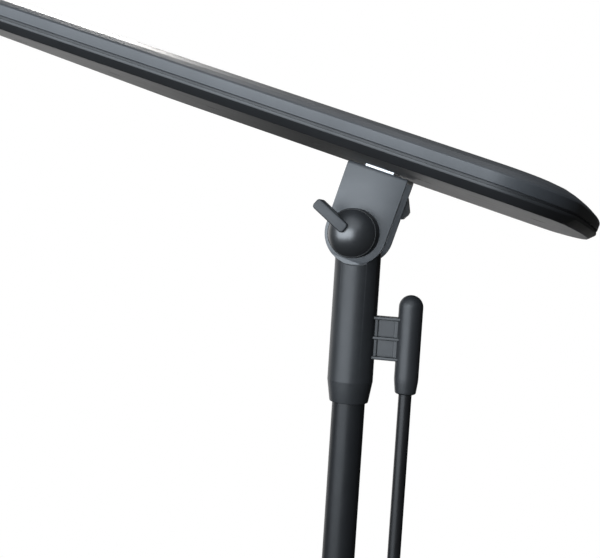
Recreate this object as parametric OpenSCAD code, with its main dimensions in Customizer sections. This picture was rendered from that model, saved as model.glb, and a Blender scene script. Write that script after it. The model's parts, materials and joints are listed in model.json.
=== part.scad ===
/* [Desk] */
// Width of the desk at its low end
desk_width = 480; // [460:1:520]
// Length of the desk from its high end to its low end
desk_depth = 350; // [330:1:360]
// Distance from the tilt pivot to the desk's low end, along the slope
desk_low_reach = 120.9; // [115:0.1:125]
// Radius of the low end's bow, seen from above
low_bow_r = 1450; // [1200:10:3000]
// Angle that each side of the desk leans in towards the high end
desk_taper = 2.4; // [0:0.1:4]
// Radius of the desk's corners, seen from above
desk_corner_r = 30; // [30:0.5:65]
// Height of the desk's whole edge
desk_edge_h = 12.2; // [12:0.1:13.5]
// Width of the sloping frame round the page area
frame_w = 24; // [20:1:32]
// Wall thickness of the two desk shells
shell_wall = 2; // [1.6:0.1:2.2]
// Slope of the desk at rest
desk_tilt = 16; // [5:0.1:30]

/* [Tilt bracket] */
// Height of the desk's underside above the pivot
bracket_drop = 38.6; // [38:0.1:44]
// Half the width of each ear, and the radius of its round end
ear_r = 17.7; // [16.5:0.1:18.5]
// Thickness of the bracket's steel
bracket_t = 2.2; // [2:0.1:2.6]
// Gap between the desk and the bracket, filled by the spacer
spacer_t = 1.2; // [1:0.1:1.6]
// Radius of the clamp knobs
knob_r = 13.8; // [12.5:0.1:14.5]
// Distance from the knob's axis to the tip of its lever
lever_reach = 25; // [22:0.1:28]
// Width of the clamp levers
lever_w = 6.2; // [5:0.1:6.6]

/* [Mast] */
// Height of the tilt pivot above the floor at rest
pivot_z = 1000; // [990:1:1020]
// Outer diameter of the sliding inner tube
inner_d = 19; // [18:0.1:19.4]
// Outer diameter of the head sleeve
sleeve_d = 26.2; // [25.4:0.1:26.6]
// Distance from the mast's axis to the guide rod's axis
rod_offset = 32.3; // [32:0.1:34]
// Diameter of the guide rod
rod_d = 7.5; // [7:0.1:8]
// Diameter of the capsule that holds the guide rod
capsule_d = 13.8; // [13:0.1:14.4]
// Length of the guide rod
rod_length = 600; // [596:1:600]

/* [Base] */
// Outer diameter of the outer tube
outer_d = 25.4; // [25:0.1:26]
// Height of the outer tube's top end
outer_top = 606; // [600:1:610]
// Distance from the mast's axis to the centre of each foot
foot_reach = 260; // [255:1:280]
// Radius of the rubber feet
foot_r = 14; // [13:0.5:15]
// Diameter of the leg tubes
leg_d = 19; // [17:0.5:20]

/* [Hidden] */
$fn = 64;
hull_fn = 32;
corner_steps = 12;
eps = 0.01;
far = 400;

// The mast stands off centre so that the footprint is centred on the origin.
foot_angles = [180, 300, 60];
mast_x = foot_reach * (1 - cos(60)) / 2;

// Heights in the desk's edge, above its underside
pan_chamfer = 2.8;
pan_bead = 3.8;
seam_z = 4.7;
face_top = 8.3;
seam_inset = 1.2;
tray_floor = seam_z + shell_wall;
// Inset from the edge and share of the rise, at points along the frame's crown
crown = [[0.6, 0.18], [3, 0.54], [6.5, 0.79], [11, 0.95], [17, 1]];

// Running clearances
run = 0.06;
side_gap = 0.3;

// Bracket and clamp parts
tongue_w = 21.8;
ear_in = tongue_w / 2 + side_gap;
ear_out = ear_in + bracket_t;
flange_z = bracket_drop - spacer_t;
stud_r = 4;
knob_h = 11;
dome_h = 8;
lever_h = 10;
lever_start = 2.7;
lever_tip_r = 1.6;
tilt_lever_angle = 141;
far_lever_angle = 36;
height_lever_angle = 215;

// Screws
pan_screw_count = 6;
pan_screw_pitch = 55;
pan_screw_first = 92;
pan_screw_y = 95;
pan_screw_r = 1.9;
bracket_screw_y = 5.6;
bracket_screw_r = 2.5;

// Head sleeve and rod holder, measured down from the pivot
ear_gap = 0.6;
sleeve_taper = 84.5;
sleeve_end = 97;
sleeve_lip_r = 11.7;
tube_top_drop = 26;
capsule_top = 32.9;
capsule_taper = 81.5;
capsule_end = 89.5;
capsule_lip_r = 5.9;
rod_top_drop = 46;
rib_drops = [47.2, 58.6, 70];
rib_t = 1.8;
rib_depth = 9;
web_t = 3;

// Telescoping column
tube_wall = 1.5;
inner_bottom = 322;
outer_bottom = 48;
collar_h = 72;
collar_r = 17.5;
collar_lid = 4;
clamp_drop = 36;
bush_l = 46;
bush_lip = 2.5;
guide_r = 7.4;
guide_h = 52;
guide_rib_drops = [14, 27, 40];
boss_out = 21;

// Base
hub_bottom = 42;
hub_h = 64;
hub_r = 23;
leg_hub_r = 15;
leg_hub_z = 76;
leg_foot_z = 14;
leg_run = foot_reach - leg_hub_r;
leg_slope = atan((leg_hub_z - leg_foot_z) / leg_run);
leg_length = leg_run / cos(leg_slope);
foot_h = 27;

module at_mast(z = 0) {
    translate([mast_x, 0, z]) children();
}

module on_desk(z = 0) {
    at_mast(pivot_z) rotate([0, desk_tilt, 0]) translate([0, 0, z]) children();
}

// Turns a shape drawn along +Z so that it points along -Y
module outward() {
    rotate([90, 0, 0]) children();
}

// Half the desk's width at a distance x along the slope
function half_width(x) = desk_width / 2 - (desk_low_reach - x) * tan(desk_taper);

// Centre of a corner arc at x that touches the side
function corner(x) = [x, half_width(x) - desk_corner_r / cos(desk_taper)];

// The low corners touch the bowed low end too, which fixes their x.
bow = [desk_low_reach - low_bow_r, 0];
lean = tan(desk_taper);
side_y = corner(0)[1];
low_b = bow[0] - side_y * lean;
low_c = bow[0] * bow[0] + side_y * side_y - pow(low_bow_r - desk_corner_r, 2);
low_corner = corner((low_b + sqrt(low_b * low_b - (1 + lean * lean) * low_c)) / (1 + lean * lean));
high_corner = corner(desk_low_reach - desk_depth + desk_corner_r);
bow_angle = atan2(low_corner[1], low_corner[0] - bow[0]);

// Points on an arc, without its ends if inner is 1
function arc(c, r, a0, a1, inner = 0) = [for (i = [inner:corner_steps - inner])
    c + r * [for (f = [0, 90]) cos(a0 + (a1 - a0) * i / corner_steps - f)]];

function flip(c) = [c[0], -c[1]];

// Points round the desk's outline, grown by d
function outline(d) = let (r = desk_corner_r + d, side = 90 + desk_taper) concat(
    arc(bow, low_bow_r + d, -bow_angle, bow_angle, 1),
    arc(low_corner, r, bow_angle, side),
    arc(high_corner, r, side, 180),
    arc(flip(high_corner), r, 180, 360 - side),
    arc(flip(low_corner), r, 360 - side, 360 - bow_angle)
);

// Solid through desk outlines, each given as [growth, height], from the lowest up
module loft(rings) {
    n = len(outline(0));
    top = len(rings) - 1;
    points = [for (ring = rings, p = outline(ring[0])) [p[0], p[1], ring[1]]];
    sides = [for (k = [0:top - 1], i = [0:n - 1]) let (j = (i + 1) % n)
        [k * n + i, (k + 1) * n + i, (k + 1) * n + j, k * n + j]];
    polyhedron(points, concat(
        [[for (i = [0:n - 1]) i]],
        [[for (i = [n - 1:-1:0]) top * n + i]],
        sides
    ));
}

// Solid of revolution with rounded lower and upper edges
module turned(r, h, low = 1, high = 1) {
    rotate_extrude() {
        translate([0, low]) square([r, h - low - high]);
        square([r - low, low + eps]);
        translate([0, h - high - eps]) square([r - high, high + eps]);
        translate([r - low, low]) intersection() {
            circle(low);
            translate([0, -low]) square(low);
        }
        translate([r - high, h - high]) intersection() {
            circle(high);
            square(high);
        }
    }
}

// Positions of the screws along the desk's underside
module pan_screw_places() {
    for (i = [0:pan_screw_count - 1], s = [-1, 1])
        translate([pan_screw_first - i * pan_screw_pitch, s * pan_screw_y, 0]) children();
}

module bracket_screw_places() {
    for (s = [-1, 1]) translate([0, s * bracket_screw_y, 0]) children();
}

// Upper shell: the page area inside a sloping frame
module desk_tray() {
    color([0.16, 0.17, 0.18]) on_desk(bracket_drop) difference() {
        loft(concat([[0, seam_z], [0, face_top]],
            [for (c = crown) [-c[0], face_top + c[1] * (desk_edge_h - face_top)]],
            [[2 - frame_w, desk_edge_h]]));
        loft([[-frame_w, tray_floor], [-frame_w, far]]);
        difference() {
            loft([[-shell_wall, 0], [-shell_wall, face_top - 1]]);
            loft([[shell_wall - frame_w, -1], [shell_wall - frame_w, far]]);
        }
        pan_screw_places() cylinder(r = pan_screw_r, h = seam_z + 1);
    }
}

// Lower shell: a shallow pan with an undercut rim, closed by the tray
module desk_pan() {
    inner = -pan_chamfer - shell_wall;
    color([0.13, 0.13, 0.14]) on_desk(bracket_drop) difference() {
        loft([[-pan_chamfer, 0], [0, pan_chamfer], [0, pan_bead], [-seam_inset, pan_bead],
            [-seam_inset, seam_z]]);
        difference() {
            loft([[inner, shell_wall], [inner, far]]);
            pan_screw_places() cylinder(r = 4.5, h = seam_z);
        }
        pan_screw_places() {
            translate([0, 0, -1]) cylinder(r = 3.8, h = 1.9);
            translate([0, 0, -1]) cylinder(r = pan_screw_r, h = far);
        }
        bracket_screw_places() translate([0, 0, -1]) cylinder(r = bracket_screw_r, h = far);
    }
}

// Steel plate inside the desk that takes the bracket screws
module backing_plate() {
    color([0.55, 0.56, 0.58]) on_desk(bracket_drop + shell_wall) difference() {
        translate([-30, -60, 0]) cube([60, 120, seam_z - shell_wall]);
        bracket_screw_places() translate([0, 0, -1]) cylinder(r = bracket_screw_r, h = 9);
    }
}

module pan_screws() {
    color([0.1, 0.1, 0.1]) on_desk(bracket_drop) pan_screw_places() {
        difference() {
            translate([0, 0, 0.1]) turned(3.5, 0.8, 0.4, 0.1);
            translate([0, 0, -0.4]) cylinder(r = 1.3, h = 1, $fn = 6);
        }
        translate([0, 0, 0.8]) cylinder(r = pan_screw_r, h = seam_z - 0.2);
    }
}

module bracket_screws() {
    color([0.5, 0.51, 0.53]) on_desk(flange_z - bracket_t) bracket_screw_places() {
        difference() {
            translate([0, 0, -2.6]) turned(4.6, 2.6, 1, 0.1);
            translate([0, 0, -3]) cylinder(r = 1.7, h = 2, $fn = 6);
        }
        cylinder(r = bracket_screw_r, h = bracket_t + spacer_t + seam_z);
    }
}

// Folded steel clevis: a flange under the desk and two ears that carry the pivot stud
module tilt_bracket() {
    color([0.3, 0.31, 0.33]) on_desk() difference() {
        union() {
            for (y = [-ear_in, ear_out]) translate([0, y, 0]) outward() {
                cylinder(r = ear_r, h = bracket_t);
                translate([-ear_r, 0, 0]) cube([2 * ear_r, flange_z, bracket_t]);
            }
            translate([-ear_r, -ear_out, flange_z - bracket_t])
                cube([2 * ear_r, 2 * ear_out, bracket_t]);
        }
        translate([0, far / 2, 0]) outward() cylinder(r = stud_r, h = far);
        bracket_screw_places() cylinder(r = bracket_screw_r, h = far);
    }
}

module bracket_spacer() {
    color([0.85, 0.86, 0.88]) on_desk(flange_z) difference() {
        translate([-7.5, -ear_out + 0.3, 0]) cube([16.5, 2 * ear_out - 0.6, spacer_t]);
        bracket_screw_places() translate([0, 0, -1]) cylinder(r = bracket_screw_r, h = 9);
    }
}

module pivot_stud() {
    color([0.7, 0.71, 0.73]) on_desk() translate([0, ear_out + 8, 0]) outward()
        cylinder(r = stud_r, h = 2 * ear_out + 16);
}

// Fibre washers between the ears and the sleeve's tongue
module friction_washers() {
    t = side_gap - 0.1;
    color([0.2, 0.2, 0.2]) on_desk() for (y = [t - ear_in, ear_in])
        translate([0, y, 0]) outward() difference() {
            cylinder(r = 10, h = t);
            translate([0, 0, -1]) cylinder(r = stud_r, h = 3);
        }
}

// Round knob body with a bore for the stud
module knob_body() {
    difference() {
        turned(knob_r, knob_h, 0.5, 0.5);
        translate([0, 0, -1]) cylinder(r = stud_r + run, h = knob_h + 2);
    }
}

// Domed cap with a slot across it for the lever
module knob_dome(angle) {
    ball_r = (knob_r * knob_r + dome_h * dome_h) / (2 * dome_h);
    difference() {
        rotate_extrude() intersection() {
            translate([0, dome_h - ball_r]) circle(ball_r, $fn = 128);
            square(ball_r);
        }
        translate([0, 0, -eps]) rotate([0, 0, angle]) lever_bar();
    }
}

// Lever bar lying along +X
module lever_bar() {
    edge = lever_w / 2 - lever_tip_r;
    hull() for (x = [lever_start + lever_tip_r, lever_reach - lever_tip_r], y = [-edge, edge])
        translate([x, y, 0]) cylinder(r = lever_tip_r, h = lever_h, $fn = hull_fn);
}

module near_knob_place(z = 0) {
    on_desk() translate([0, -ear_out - z, 0]) outward() children();
}

module far_knob_place(z = 0) {
    on_desk() translate([0, ear_out + z, 0]) rotate([-90, 0, 0]) children();
}

module height_knob_place(z = 0) {
    at_mast(outer_top - clamp_drop) translate([0, -boss_out - z, 0]) outward() children();
}

module tilt_knob_body() {
    color([0.12, 0.12, 0.13]) near_knob_place() knob_body();
}

module tilt_knob_dome() {
    color([0.17, 0.17, 0.18]) near_knob_place(knob_h) knob_dome(tilt_lever_angle + desk_tilt);
}

module tilt_lever() {
    color([0.2, 0.21, 0.22]) near_knob_place(knob_h)
        rotate([0, 0, tilt_lever_angle + desk_tilt]) lever_bar();
}

module far_knob_body() {
    color([0.07, 0.07, 0.07]) far_knob_place() difference() {
        turned(11, 10, 0.5, 2.5);
        translate([0, 0, -1]) cylinder(r = stud_r + run, h = 9.2);
        rotate([0, 0, -far_lever_angle - desk_tilt]) far_blade(3);
    }
}

// Thumb lever with a slanted tip
module far_blade(z) {
    translate([0, 0, z]) linear_extrude(5) polygon([
        [6, -2.6], [21, -3.5], [29, -5.5], [32.4, -4], [28.7, 3.5], [27.2, 4.4], [23.3, 5], [21, 3.6],
        [6, 2.6]
    ]);
}

module far_lever() {
    color([0.07, 0.07, 0.07]) far_knob_place() rotate([0, 0, -far_lever_angle - desk_tilt])
        far_blade(3);
}

// Moulded sleeve on the inner tube, with a tongue between the bracket's ears
module head_sleeve() {
    r = sleeve_d / 2;
    color([0.17, 0.17, 0.18]) at_mast(pivot_z) difference() {
        union() {
            translate([0, 0, -sleeve_end]) rotate_extrude() {
                polygon([
                    [0, 2], [sleeve_lip_r, 2], [r - 0.25, sleeve_end - sleeve_taper - 1.5],
                    [r, sleeve_end - sleeve_taper], [r, sleeve_end], [0, sleeve_end]
                ]);
                square([sleeve_lip_r - 2, 2 + eps]);
                translate([sleeve_lip_r - 2, 2]) intersection() {
                    circle(2);
                    translate([0, -2]) square(2);
                }
            }
            translate([0, tongue_w / 2, 0]) outward() cylinder(r = r, h = tongue_w);
        }
        for (flip = [0, 1]) mirror([0, flip, 0])
            translate([0, -tongue_w / 2, 0]) outward() cylinder(r = ear_r + ear_gap, h = far);
        translate([0, 0, -sleeve_end - 1]) cylinder(r = inner_d / 2, h = sleeve_end - tube_top_drop + 1);
        translate([0, far / 2, 0]) outward() cylinder(r = stud_r + run, h = far);
        translate([0, 0, -60]) rotate([-90, 0, 0]) cylinder(r = 2.5, h = far);
    }
}

// Two-sided ribbed arm between two upright cylinders
module ribbed_arm(inner_r, drops) {
    span = rod_offset;
    top = drops[0] - 1.5;
    bottom = drops[len(drops) - 1] + 1.5;
    difference() {
        union() {
            translate([0, -web_t / 2, -bottom]) cube([span, web_t, bottom - top]);
            for (d = drops) translate([0, -rib_depth / 2, -d - rib_t / 2])
                cube([span, rib_depth, rib_t]);
            for (x = [inner_r - 1, rod_offset - 8.6])
                translate([x, -2.6, -bottom]) cube([2.4, 5.2, bottom - top]);
        }
        translate([0, 0, -far / 2]) cylinder(r = inner_r, h = far);
    }
}

// Arm and capsule that carry the guide rod beside the head sleeve
module rod_holder() {
    r = capsule_d / 2;
    color([0.15, 0.15, 0.16]) at_mast(pivot_z) difference() {
        union() {
            ribbed_arm(sleeve_d / 2, rib_drops);
            translate([rod_offset, 0, -capsule_end]) rotate_extrude() {
                polygon([
                    [0, 1.4], [capsule_lip_r, 1.4], [r, capsule_end - capsule_taper],
                    [r, capsule_end - capsule_top - r], [0, capsule_end - capsule_top - r]
                ]);
                square([capsule_lip_r - 1.4, 1.4 + eps]);
                translate([capsule_lip_r - 1.4, 1.4]) intersection() {
                    circle(1.4);
                    translate([0, -1.4]) square(1.4);
                }
                translate([0, capsule_end - capsule_top - r - eps]) intersection() {
                    circle(r);
                    square(r);
                }
            }
        }
        translate([rod_offset, 0, -capsule_end - 1])
            cylinder(r = rod_d / 2, h = capsule_end - rod_top_drop + 1);
    }
}

module sleeve_screw() {
    color([0.1, 0.1, 0.1]) at_mast(pivot_z - 60) rotate([-90, 0, 0]) difference() {
        translate([0, 0, inner_d / 2]) cylinder(r = 2.5, h = sleeve_d / 2 - inner_d / 2 - 0.6);
        translate([0, 0, sleeve_d / 2 - 2.6]) cylinder(r = 1.4, h = 3, $fn = 6);
    }
}

module tube(r, wall, z0, z1) {
    translate([0, 0, z0]) difference() {
        cylinder(r = r, h = z1 - z0);
        translate([0, 0, -1]) cylinder(r = r - wall, h = z1 - z0 + 2);
    }
}

module inner_tube() {
    color([0.15, 0.15, 0.16]) at_mast()
        tube(inner_d / 2, tube_wall, inner_bottom, pivot_z - tube_top_drop);
}

// Glide on the lower end of the inner tube
module glide_plug() {
    color([0.6, 0.6, 0.6]) at_mast(inner_bottom) {
        translate([0, 0, -14]) turned(outer_d / 2 - tube_wall - run, 14, 1, 0.5);
        cylinder(r = inner_d / 2 - tube_wall, h = 22);
    }
}

module guide_rod() {
    color([0.14, 0.14, 0.14]) at_mast(pivot_z - rod_top_drop - rod_length)
        translate([rod_offset, 0, 0]) cylinder(r = rod_d / 2, h = rod_length);
}

// Cap that stops the rod from leaving its guide
module rod_stop() {
    color([0.12, 0.12, 0.12]) at_mast(pivot_z - rod_top_drop - rod_length - 4)
        translate([rod_offset, 0, 0]) difference() {
            turned(rod_d / 2 + 2.2, 22, 3, 1);
            translate([0, 0, 4]) cylinder(r = rod_d / 2, h = 22);
        }
}

module outer_tube() {
    color([0.15, 0.15, 0.16]) at_mast() difference() {
        tube(outer_d / 2, tube_wall, outer_bottom, outer_top);
        translate([0, 0, outer_top - clamp_drop]) outward() cylinder(r = stud_r + run, h = far);
    }
}

// Bush pressed into the outer tube, in which the inner tube slides
module tube_bush() {
    bush_r = outer_d / 2 - tube_wall;
    color([0.62, 0.62, 0.6]) at_mast() difference() {
        union() {
            translate([0, 0, outer_top - bush_l]) cylinder(r = bush_r, h = bush_l + eps);
            translate([0, 0, outer_top]) cylinder(r = outer_d / 2, h = bush_lip);
        }
        translate([0, 0, outer_top - bush_l - 1]) cylinder(r = inner_d / 2 + run, h = bush_l + 9);
        translate([0, 0, outer_top - clamp_drop]) outward() cylinder(r = stud_r + run, h = far);
    }
}

// Moulded clamp collar round the top of the outer tube
module height_collar() {
    top = outer_top + bush_lip + collar_lid;
    color([0.16, 0.16, 0.17]) at_mast(top - collar_h) difference() {
        union() {
            translate([0, 0, 10]) turned(collar_r, collar_h - 10, 0.2, 3);
            rotate_extrude() polygon([
                [0, 0], [collar_r - 3.2, 0], [collar_r - 2, 1.4], [collar_r, 10.4], [0, 10.4]
            ]);
            translate([0, 0, outer_top - clamp_drop - top + collar_h]) outward()
                turned(11, boss_out - 0.3, 0.5, 1.2);
        }
        translate([0, 0, -1]) cylinder(r = outer_d / 2, h = collar_h - collar_lid + 1);
        cylinder(r = inner_d / 2 + 0.3, h = far);
        translate([0, 0, outer_top - clamp_drop - top + collar_h]) outward()
            cylinder(r = stud_r + run, h = far);
    }
}

// Ribbed arm and eye in which the guide rod slides
module rod_guide() {
    color([0.15, 0.15, 0.16]) at_mast(outer_top) difference() {
        union() {
            ribbed_arm(collar_r, guide_rib_drops);
            translate([rod_offset, 0, -guide_h]) turned(guide_r, guide_h, 1.5, 1.5);
        }
        translate([rod_offset, 0, -far / 2]) cylinder(r = rod_d / 2 + run, h = far);
    }
}

// Nylon pad between the clamp screw and the inner tube
module pressure_pad() {
    color([0.8, 0.8, 0.78]) at_mast(outer_top - clamp_drop) outward()
        translate([0, 0, inner_d / 2 + run]) cylinder(r = stud_r, h = 1.6);
}

module clamp_screw() {
    start = inner_d / 2 + 1.8;
    color([0.7, 0.71, 0.73]) at_mast(outer_top - clamp_drop) outward()
        translate([0, 0, start]) cylinder(r = stud_r, h = boss_out + 8 - start);
}

module height_knob_body() {
    color([0.12, 0.12, 0.13]) height_knob_place() difference() {
        turned(knob_r, knob_h, 0.5, 0.5);
        translate([0, 0, -1]) cylinder(r = stud_r, h = 9);
    }
}

module height_knob_dome() {
    color([0.17, 0.17, 0.18]) height_knob_place(knob_h) knob_dome(height_lever_angle);
}

module height_lever() {
    color([0.2, 0.21, 0.22]) height_knob_place(knob_h)
        rotate([0, 0, height_lever_angle]) lever_bar();
}

module leg_place(angle) {
    at_mast() rotate([0, 0, angle]) translate([leg_hub_r, 0, leg_hub_z])
        rotate([0, 90 + leg_slope, 0]) children();
}

// Cast hub that joins the three legs to the outer tube
module base_hub() {
    color([0.12, 0.12, 0.13]) at_mast(hub_bottom) difference() {
        union() {
            turned(hub_r, hub_h - 14, 3, 1);
            translate([0, 0, hub_h - 16]) rotate_extrude() polygon([
                [0, 0], [hub_r - 1, 1.9], [hub_r - 6, 14], [hub_r - 7.5, 16], [0, 16]
            ]);
        }
        translate([0, 0, outer_bottom - hub_bottom]) cylinder(r = outer_d / 2, h = far);
        translate([-mast_x, 0, -hub_bottom])
            for (a = foot_angles) leg_place(a) cylinder(r = leg_d / 2, h = leg_length);
        leg_screw_places() cylinder(r = 2, h = 30);
    }
}

// Axes of the screws that pin the legs in the hub, from below
module leg_screw_places() {
    for (a = foot_angles) rotate([0, 0, a]) translate([hub_r - 4.5, 0, -1]) children();
}

module tube_plug() {
    color([0.1, 0.1, 0.1]) at_mast(outer_bottom)
        turned(outer_d / 2 - tube_wall, 38, 0.2, 2);
}

module leg_screws() {
    color([0.45, 0.46, 0.48]) at_mast(hub_bottom) leg_screw_places() {
        translate([0, 0, -1]) turned(3.4, 2, 0.8, 0.1);
        cylinder(r = 2, h = 16);
    }
}

module leg(angle) {
    color([0.14, 0.14, 0.15]) leg_place(angle) cylinder(r = leg_d / 2, h = leg_length);
}

module foot(angle) {
    color([0.08, 0.08, 0.08]) difference() {
        at_mast() rotate([0, 0, angle]) translate([foot_reach, 0, 0]) turned(foot_r, foot_h, 1.5, 8);
        leg_place(angle) cylinder(r = leg_d / 2, h = leg_length);
    }
}

module leg_rear() {
    leg(foot_angles[0]);
}

module leg_left() {
    leg(foot_angles[1]);
}

module leg_right() {
    leg(foot_angles[2]);
}

module foot_rear() {
    foot(foot_angles[0]);
}

module foot_left() {
    foot(foot_angles[1]);
}

module foot_right() {
    foot(foot_angles[2]);
}

desk_tray();
desk_pan();
backing_plate();
pan_screws();
bracket_screws();
tilt_bracket();
bracket_spacer();
pivot_stud();
friction_washers();
tilt_knob_body();
tilt_knob_dome();
tilt_lever();
far_knob_body();
far_lever();
head_sleeve();
rod_holder();
sleeve_screw();
inner_tube();
glide_plug();
guide_rod();
rod_stop();
outer_tube();
tube_bush();
height_collar();
rod_guide();
pressure_pad();
clamp_screw();
height_knob_body();
height_knob_dome();
height_lever();
base_hub();
tube_plug();
leg_screws();
leg_rear();
leg_left();
leg_right();
foot_rear();
foot_left();
foot_right();
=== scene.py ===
import bmesh
import bpy
import json
import math
from mathutils import Matrix, Vector

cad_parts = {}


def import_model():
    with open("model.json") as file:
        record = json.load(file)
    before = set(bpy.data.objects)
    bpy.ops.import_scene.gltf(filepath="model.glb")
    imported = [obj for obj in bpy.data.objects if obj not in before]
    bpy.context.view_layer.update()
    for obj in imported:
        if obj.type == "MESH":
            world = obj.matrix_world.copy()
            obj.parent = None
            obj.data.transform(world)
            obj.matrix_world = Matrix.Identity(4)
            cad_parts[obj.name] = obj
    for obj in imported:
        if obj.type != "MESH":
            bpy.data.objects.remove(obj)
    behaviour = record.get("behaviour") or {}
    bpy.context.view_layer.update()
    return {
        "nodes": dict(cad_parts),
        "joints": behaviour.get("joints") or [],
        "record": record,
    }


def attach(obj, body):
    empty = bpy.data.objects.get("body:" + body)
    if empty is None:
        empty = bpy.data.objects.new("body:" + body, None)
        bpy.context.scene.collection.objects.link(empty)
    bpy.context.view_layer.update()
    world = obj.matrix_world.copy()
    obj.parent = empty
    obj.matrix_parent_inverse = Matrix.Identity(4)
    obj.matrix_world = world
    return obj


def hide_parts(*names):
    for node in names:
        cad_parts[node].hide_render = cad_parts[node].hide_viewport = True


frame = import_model()
RECORD = frame["record"]
NODES = frame["nodes"]
JOINTS = {j["name"]: j for j in frame["joints"]}
MM = 0.001
PIVOT = Vector(JOINTS["desk_tilt"]["pos_m"])
CLAMP = Vector(JOINTS["height_knob_turn"]["pos_m"])
PAGE = next(m for m in RECORD["mounts"] if m["name"] == "page_face")
TILT = math.atan2(PAGE["axis"][0], PAGE["axis"][2])
MAST = Matrix.Translation(PIVOT)
DESK = MAST @ Matrix.Rotation(TILT, 4, "Y")

# ---------------------------------------------------------------- sizes repeated from the CAD, in mm
DESK_W, DESK_L, LOW, TAPER, CORNER, BOW_R = 480, 350, 120.9, math.radians(2.4), 30, 1450
DROP, FRAME_W, FLOOR, EDGE_H = 38.6, 24, 6.7, 12.2
CHAMFER, BEAD, SEAM, FACE_TOP, INSET = 2.8, 3.8, 4.7, 8.3, 1.2
EAR_R, EAR_IN, EAR_OUT, FLANGE = 17.7, 11.2, 13.4, 37.4
KNOB_R, KNOB_H, DOME_H = 13.8, 11, 8
LEVER_REACH, LEVER_START, LEVER_W, LEVER_H = 25, 2.7, 6.2, 10
SLEEVE_R, SLEEVE_END, SLEEVE_TIP, TONGUE_W = 13.1, -94, -97, 21.8
ROD_X, TUBE_R, OUTER_TOP = 32.3, 9.5, 606
CAPSULE_R, CAPSULE_BOTTOM, CAPSULE_DOME = 6.9, -89.5, -39.8
GUIDE_R, GUIDE_H, COLLAR_R = 7.4, 52, 17.5
HEAD_RIBS, GUIDE_RIBS = [47.2, 58.6, 70], [14, 27, 40]
SCREWS = [(92 - i * 55, s * 95) for i in range(6) for s in (-1, 1)]
PIT_R, PIT_DEPTH = 3.9, 0.9

# ---------------------------------------------------------------- other settings
LENS_MM, SENSOR_MM = 60, 36
YAW, PITCH, ROLL = math.radians(-13.584), math.radians(-3.246), math.radians(3.621)
CAMERA_FROM_PIVOT = Vector((102.87, -563.76, 4.23)) * MM
TILT_LEVER, HEIGHT_LEVER = math.radians(141), math.radians(215)
COOL, WARM, WHITE = (0.84, 0.92, 1), (1, 0.98, 0.95), (1, 1, 1)
WORLD_BASE = 0.03
WORLD_LOBES = ((-48, 2, 20, 12, 1.4), (-3, -2, 5, 6, 3.5), (-150, 20, 30, 30, 0.1))


# ---------------------------------------------------------------- camera
def camera():
    data = bpy.data.cameras.new("Camera")
    data.sensor_width, data.sensor_fit, data.lens = SENSOR_MM, "HORIZONTAL", LENS_MM
    cam = bpy.data.objects.new("Camera", data)
    bpy.context.scene.collection.objects.link(cam)
    ahead = Vector((math.sin(YAW) * math.cos(PITCH), math.cos(YAW) * math.cos(PITCH), math.sin(PITCH)))
    side = Vector((math.cos(YAW), -math.sin(YAW), 0))
    up = side.cross(ahead)
    right = side * math.cos(ROLL) + up * math.sin(ROLL)
    up = up * math.cos(ROLL) - side * math.sin(ROLL)
    turn = Matrix((right, up, -ahead)).transposed().to_4x4()
    cam.matrix_world = Matrix.Translation(PIVOT + CAMERA_FROM_PIVOT) @ turn
    data.clip_start, data.clip_end = 0.01, 50
    bpy.context.scene.camera = cam


camera()


# ---------------------------------------------------------------- materials
class Nodes:
    """Short way to wire the nodes of a material or a world"""

    def __init__(self, owner, output="ShaderNodeOutputMaterial"):
        owner.use_nodes = True
        self.tree = owner.node_tree
        self.tree.nodes.clear()
        self.out = self.add(output)
        self.coords = self.add("ShaderNodeTexCoord").outputs

    def add(self, kind, **values):
        n = self.tree.nodes.new(kind)
        for k, v in values.items():
            if hasattr(n, k):
                setattr(n, k, v)
            else:
                n.inputs[k.replace("_", " ")].default_value = v
        return n

    def link(self, a, b):
        self.tree.links.new(a, b)

    def noise(self, scale, detail=2, rough=0.5, stretch=None):
        n = self.add("ShaderNodeTexNoise")
        n.inputs["Scale"].default_value = scale
        n.inputs["Detail"].default_value = detail
        n.inputs["Roughness"].default_value = rough
        source = self.coords["Object"]
        if stretch:
            m = self.add("ShaderNodeMapping")
            m.inputs["Scale"].default_value = stretch
            self.link(source, m.inputs["Vector"])
            source = m.outputs["Vector"]
        self.link(source, n.inputs["Vector"])
        return n.outputs["Fac"]

    def cells(self, scale):
        n = self.add("ShaderNodeTexVoronoi")
        n.inputs["Scale"].default_value = scale
        self.link(self.coords["Object"], n.inputs["Vector"])
        return n.outputs["Distance"]

    def span(self, value, a, b, lo, hi):
        """The value's range a to b mapped to lo to hi, clamped"""
        n = self.add("ShaderNodeMapRange")
        for key, v in (("From Min", a), ("From Max", b), ("To Min", lo), ("To Max", hi)):
            n.inputs[key].default_value = v
        self.link(value, n.inputs["Value"])
        return n.outputs["Result"]

    def math(self, op, a, b):
        n = self.add("ShaderNodeMath", operation=op)
        for i, v in enumerate((a, b)):
            if isinstance(v, (int, float)):
                n.inputs[i].default_value = v
            else:
                self.link(v, n.inputs[i])
        return n.outputs[0]

    def mix(self, fac, a, b):
        n = self.add("ShaderNodeMix", data_type="RGBA")
        for i, v in ((0, fac), (6, a), (7, b)):
            if isinstance(v, (int, float)):
                n.inputs[i].default_value = v
            elif isinstance(v, tuple):
                n.inputs[i].default_value = (*v, 1)
            else:
                self.link(v, n.inputs[i])
        return n.outputs[2]


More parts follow.
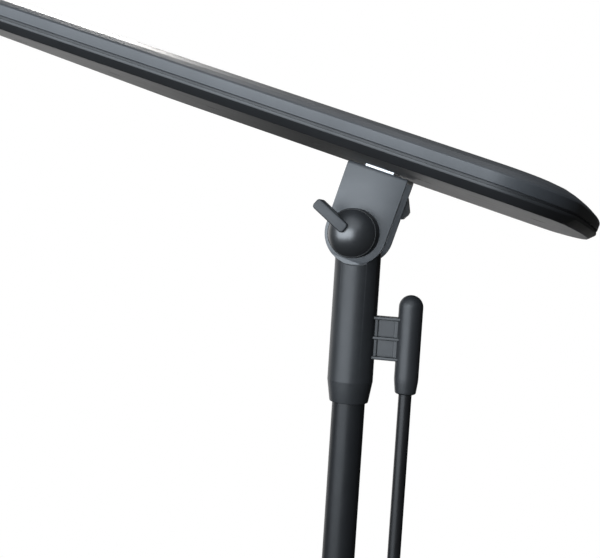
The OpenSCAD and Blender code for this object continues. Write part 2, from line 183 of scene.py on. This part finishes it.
def finish_material(name, color, rough, grain, depth, metal=0.0, wear=0.0, worn=(0.2, 0.2, 0.21),
                    specular=0.5, mottle=0.12, coat=0.0, stretch=None):
    """Plastic, paint or metal. grain is the size of the surface texture in mm, depth its height in mm."""
    mat = bpy.data.materials.new(name)
    n = Nodes(mat)
    b = n.add("ShaderNodeBsdfPrincipled")
    b.inputs["Metallic"].default_value = metal
    b.inputs["Specular IOR Level"].default_value = specular
    if coat:
        b.inputs["Coat Weight"].default_value = coat
        b.inputs["Coat Roughness"].default_value = 0.3
    clouds = n.noise(38, 4, 0.6)
    fine = n.noise(1000 / grain, 3, 0.55, stretch)
    low = tuple(c * (1 - mottle) for c in color)
    high = tuple(min(1, c * (1 + mottle)) for c in color)
    shade = n.mix(n.span(clouds, 0.3, 0.7, 0, 1), low, high)
    shade = n.mix(n.span(fine, 0.35, 0.75, 0, 0.25), shade, tuple(c * 0.7 for c in color))
    if wear:
        edge = n.add("ShaderNodeNewGeometry").outputs["Pointiness"]
        scuffs = n.noise(300, 4, 0.7)
        mask = n.math("MULTIPLY", n.span(edge, 0.53, 0.62, 0, 1), n.span(scuffs, 0.45, 0.62, 0, wear))
        shade = n.mix(mask, shade, worn)
    n.link(shade, b.inputs["Base Color"])
    smears = n.noise(70, 5, 0.65)
    n.link(n.span(smears, 0.3, 0.7, rough - 0.045, rough + 0.045), b.inputs["Roughness"])
    bump = n.add("ShaderNodeBump")
    bump.inputs["Strength"].default_value = 1
    bump.inputs["Distance"].default_value = depth * MM
    cells = n.cells(700 / grain)
    height = n.math("ADD", n.math("MULTIPLY", fine, 0.6), n.math("MULTIPLY", cells, 0.5))
    n.link(height, bump.inputs["Height"])
    n.link(bump.outputs["Normal"], b.inputs["Normal"])
    n.link(b.outputs["BSDF"], n.out.inputs["Surface"])
    return mat


MATS = {
    "desk_plastic": finish_material("desk_plastic", (0.028, 0.03, 0.033), 0.46, 0.5, 0.012, wear=0.06),
    # Painted shade: the pan is a darker copy of the desk plastic, so its down-facing chamfer and underside
    # look shaded
    "pan_plastic": finish_material("pan_plastic", (0.013, 0.0135, 0.0145), 0.5, 0.5, 0.014, wear=0.05),
    "sleeve_plastic": finish_material("sleeve_plastic", (0.019, 0.02, 0.0215), 0.42, 0.45, 0.01),
    "knob_plastic": finish_material("knob_plastic", (0.009, 0.0095, 0.01), 0.45, 0.4, 0.01),
    "dome_plastic": finish_material("dome_plastic", (0.02, 0.021, 0.0225), 0.33, 0.35, 0.007, specular=1.0,
                                    coat=1.0),
    "lever_plastic": finish_material("lever_plastic", (0.032, 0.034, 0.037), 0.42, 0.35, 0.007, wear=0.3),
    "bracket_paint": finish_material("bracket_paint", (0.045, 0.049, 0.054), 0.43, 0.6, 0.012, specular=1.0),
    "tube_paint": finish_material("tube_paint", (0.011, 0.0115, 0.0125), 0.4, 0.7, 0.01, specular=0.3),
    "hub_paint": finish_material("hub_paint", (0.016, 0.0165, 0.018), 0.45, 0.9, 0.03, wear=0.4),
    "rod_black": finish_material("rod_black", (0.009, 0.009, 0.0095), 0.38, 0.5, 0.006, specular=0.35),
    "black_screw": finish_material("black_screw", (0.012, 0.012, 0.012), 0.4, 0.3, 0.005, metal=0.4,
                                   wear=0.5),
    "steel": finish_material("steel", (0.45, 0.45, 0.46), 0.35, 0.3, 0.006, metal=1, mottle=0.2,
                             stretch=(1, 1, 12)),
    "zinc": finish_material("zinc", (0.8, 0.81, 0.83), 0.4, 0.5, 0.006, metal=0.6, mottle=0.1),
    "nylon": finish_material("nylon", (0.5, 0.5, 0.46), 0.5, 0.6, 0.01, mottle=0.08),
    "fibre": finish_material("fibre", (0.06, 0.035, 0.025), 0.75, 0.25, 0.03, mottle=0.3, stretch=(1, 1, 6)),
    "rubber": finish_material("rubber", (0.012, 0.012, 0.012), 0.7, 0.6, 0.03, specular=0.35, mottle=0.25,
                              wear=0.4, worn=(0.08, 0.08, 0.08)),
}

NODE_SLOTS = {
    "steel": ["pivot_stud", "bracket_screws", "backing_plate", "clamp_screw", "leg_screws"],
    "zinc": ["bracket_spacer"],
    "fibre": ["friction_washers"],
    "nylon": ["tube_bush", "glide_plug", "pressure_pad"],
    "black_screw": ["pan_screws", "sleeve_screw"],
    "tube_paint": ["inner_tube", "outer_tube", "leg_rear", "leg_left", "leg_right"],
    "rod_black": ["guide_rod"],
    "knob_plastic": ["rod_stop", "tube_plug", "far_knob_body", "far_lever"],
    "sleeve_plastic": ["head_sleeve", "rod_holder", "height_collar", "rod_guide"],
    "hub_paint": ["base_hub"],
    "rubber": ["foot_rear", "foot_left", "foot_right"],
}
for slot, names in NODE_SLOTS.items():
    for name in names:
        NODES[name].data.materials.clear()
        NODES[name].data.materials.append(MATS[slot])


# ---------------------------------------------------------------- mesh helpers, in mm
def rounded(points, radii, steps=5):
    """An open line of 2D points with its inner corners turned into arcs of the given radii"""
    out = [points[0]]
    for i in range(1, len(points) - 1):
        p, a, b, r = Vector(points[i]), Vector(points[i - 1]), Vector(points[i + 1]), radii[i - 1]
        if r <= 0:
            out.append(tuple(p))
            continue
        u, v = (a - p).normalized(), (b - p).normalized()
        half = u.angle(v) / 2
        reach = min(r / math.tan(half), (a - p).length * 0.49, (b - p).length * 0.49)
        r = reach * math.tan(half)
        centre = p + (u + v).normalized() * (r / math.sin(half))
        start, end = p + u * reach - centre, p + v * reach - centre
        total = start.angle_signed(end)
        for k in range(steps + 1):
            t = -total * k / steps
            c, s = math.cos(t), math.sin(t)
            out.append((centre.x + start.x * c - start.y * s, centre.y + start.x * s + start.y * c))
    out.append(points[-1])
    return [tuple(p) for p in out]


def skin(rings):
    """Vertices and faces of a closed skin through rings of points; a ring of one point is a tip"""
    verts, faces, starts = [], [], []
    for ring in rings:
        starts.append(len(verts))
        verts += ring
    for k in range(len(rings) - 1):
        a, b = rings[k], rings[k + 1]
        n = max(len(a), len(b))
        for i in range(n):
            j = (i + 1) % n
            quad = [starts[k] + i % len(a), starts[k + 1] + i % len(b),
                    starts[k + 1] + j % len(b), starts[k] + j % len(a)]
            faces.append(list(dict.fromkeys(quad)))
    if len(rings[0]) > 2:
        faces.append([starts[0] + i for i in range(len(rings[0]))])
    if len(rings[-1]) > 2:
        faces.append([starts[-1] + i for i in range(len(rings[-1]))][::-1])
    return verts, faces


def make(name, shape, place, body, nodes=(), slot="sleeve_plastic", sharp=32):
    """An object from a skin in mm. A piece of the stand names its body, a cutter or joined part does not"""
    verts, faces = shape
    mesh = bpy.data.meshes.new(name)
    mesh.from_pydata([place @ (Vector(v) * MM) for v in verts], [], faces)
    obj = bpy.data.objects.new(name, mesh)
    bpy.context.scene.collection.objects.link(obj)
    tidy(obj, sharp)
    mesh.materials.append(MATS[slot])
    if body:
        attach(obj, body)
    if nodes:
        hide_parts(*nodes)
    return obj


def tidy(obj, sharp=32):
    """Merge double points, turn the normals outward and mark edges over the sharp angle"""
    bm = bmesh.new()
    bm.from_mesh(obj.data)
    bmesh.ops.remove_doubles(bm, verts=bm.verts, dist=1e-7)
    bmesh.ops.recalc_face_normals(bm, faces=bm.faces)
    for f in bm.faces:
        f.smooth = True
    for e in bm.edges:
        e.smooth = len(e.link_faces) == 2 and e.calc_face_angle(0) < math.radians(sharp)
    bm.to_mesh(obj.data)
    bm.free()


def modify(obj, kind, **values):
    """Put the result of one modifier in the object's own mesh"""
    m = obj.modifiers.new(kind.title(), kind)
    for k, v in values.items():
        setattr(m, k, v)
    dg = bpy.context.evaluated_depsgraph_get()
    result = obj.evaluated_get(dg)
    mesh = bpy.data.meshes.new_from_object(result, preserve_all_data_layers=True, depsgraph=dg)
    obj.modifiers.clear()
    old = obj.data
    obj.data = mesh
    bpy.data.meshes.remove(old)


def combine(obj, others, how="UNION"):
    for o in others:
        modify(obj, "BOOLEAN", operation=how, object=o, solver="EXACT")
        bpy.data.objects.remove(o)
    tidy(obj)


def circle_points(radius, count):
    return [(radius * math.cos(2 * math.pi * i / count), radius * math.sin(2 * math.pi * i / count))
            for i in range(count)]


def circle(r, z, n=96, x=0.0):
    if r < 1e-6:
        return [(x, 0.0, z)]
    return [(x + a, b, z) for a, b in circle_points(r, n)]


def turned(profile, n=96, x=0.0):
    """Solid of revolution about Z from (r, z) points; it starts and ends on the axis or with a flat cap"""
    return skin([circle(r, z, n, x) for r, z in profile])


def box(x0, x1, y0, y1, z0, z1):
    corners = [(x0, y0), (x1, y0), (x1, y1), (x0, y1)]
    return skin([[(x, y, z0) for x, y in corners], [(x, y, z1) for x, y in corners]])


# ---------------------------------------------------------------- desk
def desk_centres():
    """Centres of the bow, the low corner and the high corner, and the angle where bow and corner meet"""
    lean = math.tan(TAPER)
    base = DESK_W / 2 - LOW * lean - CORNER / math.cos(TAPER)
    bow = LOW - BOW_R
    b = bow - base * lean
    root = math.sqrt(b * b - (1 + lean ** 2) * (bow ** 2 + base ** 2 - (BOW_R - CORNER) ** 2))
    x = (b + root) / (1 + lean ** 2)
    high = LOW - DESK_L + CORNER
    return bow, (x, base + x * lean), (high, base + high * lean), math.atan2(base + x * lean, x - bow)


def desk_outline(grow, z, steps=20):
    """The desk's outline seen from above, as a ring at height z, grown outward by grow"""
    bow, low, high, meet = desk_centres()
    side = math.pi / 2 + TAPER
    turn = 2 * math.pi
    r = CORNER + grow
    arcs = [(bow, 0, BOW_R + grow, -meet, meet, 1), (*low, r, meet, side, 0), (*high, r, side, math.pi, 0),
            (high[0], -high[1], r, math.pi, turn - side, 0),
            (low[0], -low[1], r, turn - side, turn - meet, 0)]
    ring = []
    for x, y, radius, a0, a1, inner in arcs:
        for i in range(inner, steps + 1 - inner):
            a = a0 + (a1 - a0) * i / steps
            ring.append((x + radius * math.cos(a), y + radius * math.sin(a), z))
    return ring


UNDERSIDE = DESK @ Matrix.Translation(Vector((0, 0, DROP)) * MM)


def desk_shell(name, points, radii, node, slot):
    """A shell from its edge profile: points are (outward from the outline, up from the underside)"""
    profile = rounded(points, radii, 6)
    shape = skin([desk_outline(d, z) for d, z in profile])
    return make(name, shape, UNDERSIDE, "desk", [node], slot, 50)


desk_shell("desk_tray_shell", [
    (-INSET - 2, SEAM - 0.05), (-INSET, SEAM - 0.05), (0, SEAM - 0.05), (0, FACE_TOP),
    (-0.6, FACE_TOP + 0.7), (-3, FACE_TOP + 2.1), (-6.5, FACE_TOP + 3.1), (-11, FACE_TOP + 3.7),
    (-17, EDGE_H), (-FRAME_W, EDGE_H - 0.3), (-FRAME_W, FLOOR), (-FRAME_W - 2.5, FLOOR),
    (-FRAME_W - 5, FLOOR)
], [0, 0.35, 0.3, 0.6, 2, 3, 6, 6, 0.8, 1.5, 0], "desk_tray", "desk_plastic")

# The pan takes the darker plastic, which paints shade on its down-facing faces
pan = desk_shell("desk_pan_shell", [
    (-CHAMFER - 16, 0), (-CHAMFER, 0), (0, CHAMFER), (0, BEAD), (-INSET, BEAD), (-INSET, SEAM), (-12, SEAM)
], [0.5, 0.45, 0.3, 0, 0.0], "desk_pan", "pan_plastic")

pit_line = rounded([(0, -2), (PIT_R, -2), (PIT_R, PIT_DEPTH), (0, PIT_DEPTH)], [0, 0.2])
pit_verts, pit_faces = turned(pit_line, 32)
pits = [([(a + x, b + y, c) for a, b, c in pit_verts], pit_faces) for x, y in SCREWS]
combine(pan, [make("pit", p, UNDERSIDE, None) for p in pits], "DIFFERENCE")


# ---------------------------------------------------------------- tilt bracket
def bracket():
    """Folded plate: stations along the fold, each with a thin rounded section"""
    t = EAR_OUT - EAR_IN
    bend, edge, narrowest = 1.9, 0.35, 1.2
    path = []
    for i in range(33):
        a = -math.pi / 2 + math.pi / 2 * i / 32
        path.append((-EAR_OUT, EAR_R * math.sin(a), EAR_R * math.cos(a), (-1, 0)))
    path.append((-EAR_OUT, (FLANGE - bend) * 0.5, EAR_R, (-1, 0)))
    for i in range(9):
        a = math.pi / 2 * i / 8
        path.append((-EAR_OUT + bend - bend * math.cos(a), FLANGE - bend + bend * math.sin(a), EAR_R,
                     (-math.cos(a), math.sin(a))))
    rings = []
    both = path + [(-y, z, w, (-n[0], n[1])) for y, z, w, n in reversed(path)]
    c, d = edge, edge * 0.3
    section = ((-1, 0, 0, c), (-1, 0, d, d), (-1, 0, c, 0), (1, 0, -c, 0), (1, 0, -d, d), (1, 0, 0, c),
               (1, 1, 0, -c), (1, 1, -d, -d), (1, 1, -c, 0), (-1, 1, c, 0), (-1, 1, d, -d), (-1, 1, 0, -c))
    for y, z, w, n in both:
        w = max(w, narrowest)
        ring = []
        for sx, st, ax, at in section:
            depth = st * t + at
            ring.append((sx * w + ax, y - n[0] * depth, z - n[1] * depth))
        rings.append(ring)
    return skin(rings)


make("bracket_plate", bracket(), DESK, "desk", ["tilt_bracket"], "bracket_paint", 40)


# ---------------------------------------------------------------- knobs and levers
def knob_parts(prefix, place, body, angle, nodes):
    """Body, domed cap and lever of a clamp knob. nodes are the CAD nodes of the three, in this order"""
    ball = (KNOB_R ** 2 + DOME_H ** 2) / (2 * DOME_H)
    gap, shoulder = 0.08, KNOB_H - 0.1
    body_line = rounded([(0, gap), (KNOB_R - 0.5, gap), (KNOB_R, 0.6), (KNOB_R, shoulder), (0, shoulder)],
                        [0.4, 0.4, 0.6])
    make(prefix + "_body", turned(body_line), place, body, [nodes[0]], "knob_plastic")
    rim = KNOB_R - 0.75
    cap = [(0, KNOB_H - 0.2), (KNOB_R - 0.9, KNOB_H - 0.2), (rim, KNOB_H + 0.4)]
    start = math.asin(rim / ball)
    for i in range(19):
        a = start * (1 - i / 18)
        cap.append((ball * math.sin(a), KNOB_H + DOME_H - ball + ball * math.cos(a)))
    dome = turned(rounded(cap, [0, 0.7] + [0] * 18))
    make(prefix + "_dome", dome, place, body, [nodes[1]], "dome_plastic")
    bar = box(LEVER_START, LEVER_REACH, -LEVER_W / 2, LEVER_W / 2, KNOB_H + 0.05, KNOB_H + LEVER_H)
    turn = Matrix.Rotation(angle, 4, "Z")
    lever = make(prefix + "_lever", bar, place @ turn, body, [nodes[2]], "lever_plastic")
    upright = place.to_3x3() @ Vector((0, 0, 1))
    bm = bmesh.new()
    bm.from_mesh(lever.data)
    corner = [e for e in bm.edges
              if abs((e.verts[1].co - e.verts[0].co).normalized().dot(upright)) > 0.9]
    bmesh.ops.bevel(bm, geom=corner, offset=1.9 * MM, segments=6, profile=0.5, affect="EDGES")
    top = [e for e in bm.edges if e.calc_face_angle(0) > 0.6]
    bmesh.ops.bevel(bm, geom=top, offset=0.85 * MM, segments=4, profile=0.5, affect="EDGES")
    bm.to_mesh(lever.data)
    bm.free()
    tidy(lever)


TO_FRONT = Matrix.Rotation(math.pi / 2, 4, "X")
tilt_place = DESK @ Matrix.Translation(Vector((0, -EAR_OUT, 0)) * MM) @ TO_FRONT
knob_parts("tilt_grip", tilt_place, "tilt_knob", TILT_LEVER + TILT,
           ["tilt_knob_body", "tilt_knob_dome", "tilt_lever"])
knob_parts("height_grip", Matrix.Translation(CLAMP) @ TO_FRONT, "height_knob", HEIGHT_LEVER,
           ["height_knob_body", "height_knob_dome", "height_lever"])


# ---------------------------------------------------------------- head sleeve and rod holder
def across(radius, count, y0, y1):
    """Cylinder along Y, the axis of the tilt hinge"""
    return skin([[(x, y, z) for x, z in circle_points(radius, count)] for y in (y0, y1)])


bore = TUBE_R + 0.02
sleeve_line = rounded([
    (bore, SLEEVE_END), (bore, -96.2), (TUBE_R + 0.5, -96.8), (11.1, SLEEVE_TIP), (12.85, -86),
    (SLEEVE_R, -84.5), (SLEEVE_R, 0), (0, 0)
], [0, 0.3, 1.6, 1.0, 1.5, 0])
sleeve_shape = turned([(0, SLEEVE_END)] + sleeve_line)
sleeve = make("sleeve", sleeve_shape, MAST, "mast", ["head_sleeve"], "sleeve_plastic")
half = TONGUE_W / 2
combine(sleeve, [make("head", across(SLEEVE_R, 96, -half, half), MAST, None)])
pockets = [across(EAR_R + 0.6, 128, *ends) for ends in ((-40, -half), (half, 40))]
combine(sleeve, [make("pocket", p, MAST, None) for p in pockets], "DIFFERENCE")


def arm(inner_r, drops, post_r):
    """Web, ribs and end bars of an arm between two uprights. drops are the ribs' heights below its place"""
    half_web, half_rib, half_rib_h, bar, half_bar, over = 1.5, 4.5, 0.9, 2.6, 2.6, 0.5
    bottom, top = -drops[-1] - over, -drops[0] + over
    x0, x1 = inner_r - 2.5, ROD_X
    parts = [box(x0, x1, -half_web, half_web, bottom, top)]
    for d in drops:
        parts.append(box(x0, x1, -half_rib, half_rib, -d - half_rib_h, -d + half_rib_h))
    for x in (inner_r - 1, ROD_X - post_r - 1.6):
        parts.append(box(x, x + bar, -half_bar, half_bar, bottom, top))
    return parts


def holder(name, node, body, place, inner_r, drops, post_line, post_r):
    """The post round the rod joined to its arm"""
    post = make(name, turned(post_line, 96, ROD_X), place, body, [node], "sleeve_plastic")
    pieces = []
    for i, p in enumerate(arm(inner_r, drops, post_r)):
        o = make("part%d" % i, p, place, None)
        modify(o, "BEVEL", width=0.4 * MM, segments=3, limit_method="ANGLE")
        pieces.append(o)
    combine(post, pieces)


capsule_line = rounded([
    (0, CAPSULE_BOTTOM), (4.6, CAPSULE_BOTTOM), (5.95, -88.9), (6.75, -82.5), (CAPSULE_R, -80.5),
    (CAPSULE_R, CAPSULE_DOME)
], [0.9, 1.2, 1.5, 1.5])
for i in range(1, 16):
    a = math.pi / 2 * i / 16
    capsule_line.append((CAPSULE_R * math.cos(a), CAPSULE_DOME + CAPSULE_R * math.sin(a)))
capsule_line.append((0, CAPSULE_DOME + CAPSULE_R))
holder("rod_arm", "rod_holder", "mast", MAST, SLEEVE_R, HEAD_RIBS, capsule_line, CAPSULE_R)

guide_top = Matrix.Translation((PIVOT.x, PIVOT.y, OUTER_TOP * MM))
eye_line = rounded([(0, -GUIDE_H), (GUIDE_R, -GUIDE_H), (GUIDE_R, 0), (0, 0)], [1.5, 1.5], 6)
holder("guide_arm", "rod_guide", "base", guide_top, COLLAR_R, GUIDE_RIBS, eye_line, GUIDE_R)


# ---------------------------------------------------------------- floor, light and backdrop
def floor():
    """A pale round floor that throws no light back on the stand"""
    shape = skin([circle(1500, -1, 128), circle(1500, 0, 128)])
    o = make("floor", shape, Matrix.Identity(4), None)
    mat = bpy.data.materials.new("floor_paint")
    n = Nodes(mat)
    b = n.add("ShaderNodeBsdfPrincipled")
    b.inputs["Roughness"].default_value = 0.8
    n.link(n.mix(n.noise(3, 5, 0.6), (0.8, 0.8, 0.8), (0.84, 0.84, 0.84)), b.inputs["Base Color"])
    n.link(b.outputs["BSDF"], n.out.inputs["Surface"])
    o.data.materials.clear()
    o.data.materials.append(mat)
    o.visible_diffuse = o.visible_glossy = False


floor()


def light(name, where, aim, size, power, color=WHITE, shadow=True):
    data = bpy.data.lights.new(name, "AREA")
    data.shape, data.size, data.size_y = "RECTANGLE", size[0], size[1]
    data.energy, data.color, data.use_shadow = power, color, shadow
    o = bpy.data.objects.new(name, data)
    bpy.context.scene.collection.objects.link(o)
    o.visible_camera = False
    o.location = where
    o.rotation_euler = (Vector(aim) - Vector(where)).to_track_quat("-Z", "Y").to_euler()


def toward(azimuth, elevation, distance=1.0):
    """Vector from the pivot; azimuth 0 is +Y, behind the stand, and 90 is +X"""
    a, e = math.radians(azimuth), math.radians(elevation)
    return Vector((math.sin(a) * math.cos(e), math.cos(a) * math.cos(e), math.sin(e))) * distance


light("key", PIVOT + toward(-151, 12, 1.8), PIVOT, (2.5, 2.5), 80, COOL)
light("soft", PIVOT + toward(-175, 32, 1.8), PIVOT, (1.2, 1.0), 32, COOL, shadow=False)
light("back", PIVOT + toward(-29.5, 40, 2.0), PIVOT, (0.26, 0.7), 20, WARM)
light("top", (0.3, 0.2, 2.8), (0.1, 0, 0.6), (1.6, 1.6), 8)


def world():
    """Soft lobes of light to shine in the surfaces, on a backdrop that the camera sees as white"""
    w = bpy.data.worlds.new("Studio")
    bpy.context.scene.world = w
    n = Nodes(w, "ShaderNodeOutputWorld")
    total = WORLD_BASE
    for azimuth, elevation, width, soft, strength in WORLD_LOBES:
        dot = n.add("ShaderNodeVectorMath", operation="DOT_PRODUCT")
        n.link(n.coords["Generated"], dot.inputs[0])
        dot.inputs[1].default_value = toward(azimuth, elevation)
        inner, outer = math.cos(math.radians(width)), math.cos(math.radians(width + soft))
        lobe = n.span(dot.outputs["Value"], outer, inner, 0, strength)
        total = n.math("ADD", lobe, total)
    fill = n.add("ShaderNodeBackground")
    n.link(total, fill.inputs["Strength"])
    seen = n.add("ShaderNodeBackground")
    seen.inputs["Color"].default_value = (*WHITE, 1)
    both = n.add("ShaderNodeMixShader")
    n.link(n.add("ShaderNodeLightPath").outputs["Is Camera Ray"], both.inputs[0])
    n.link(fill.outputs[0], both.inputs[1])
    n.link(seen.outputs[0], both.inputs[2])
    n.link(both.outputs[0], n.out.inputs["Surface"])


world()
bpy.context.scene.view_settings.view_transform = "Standard"
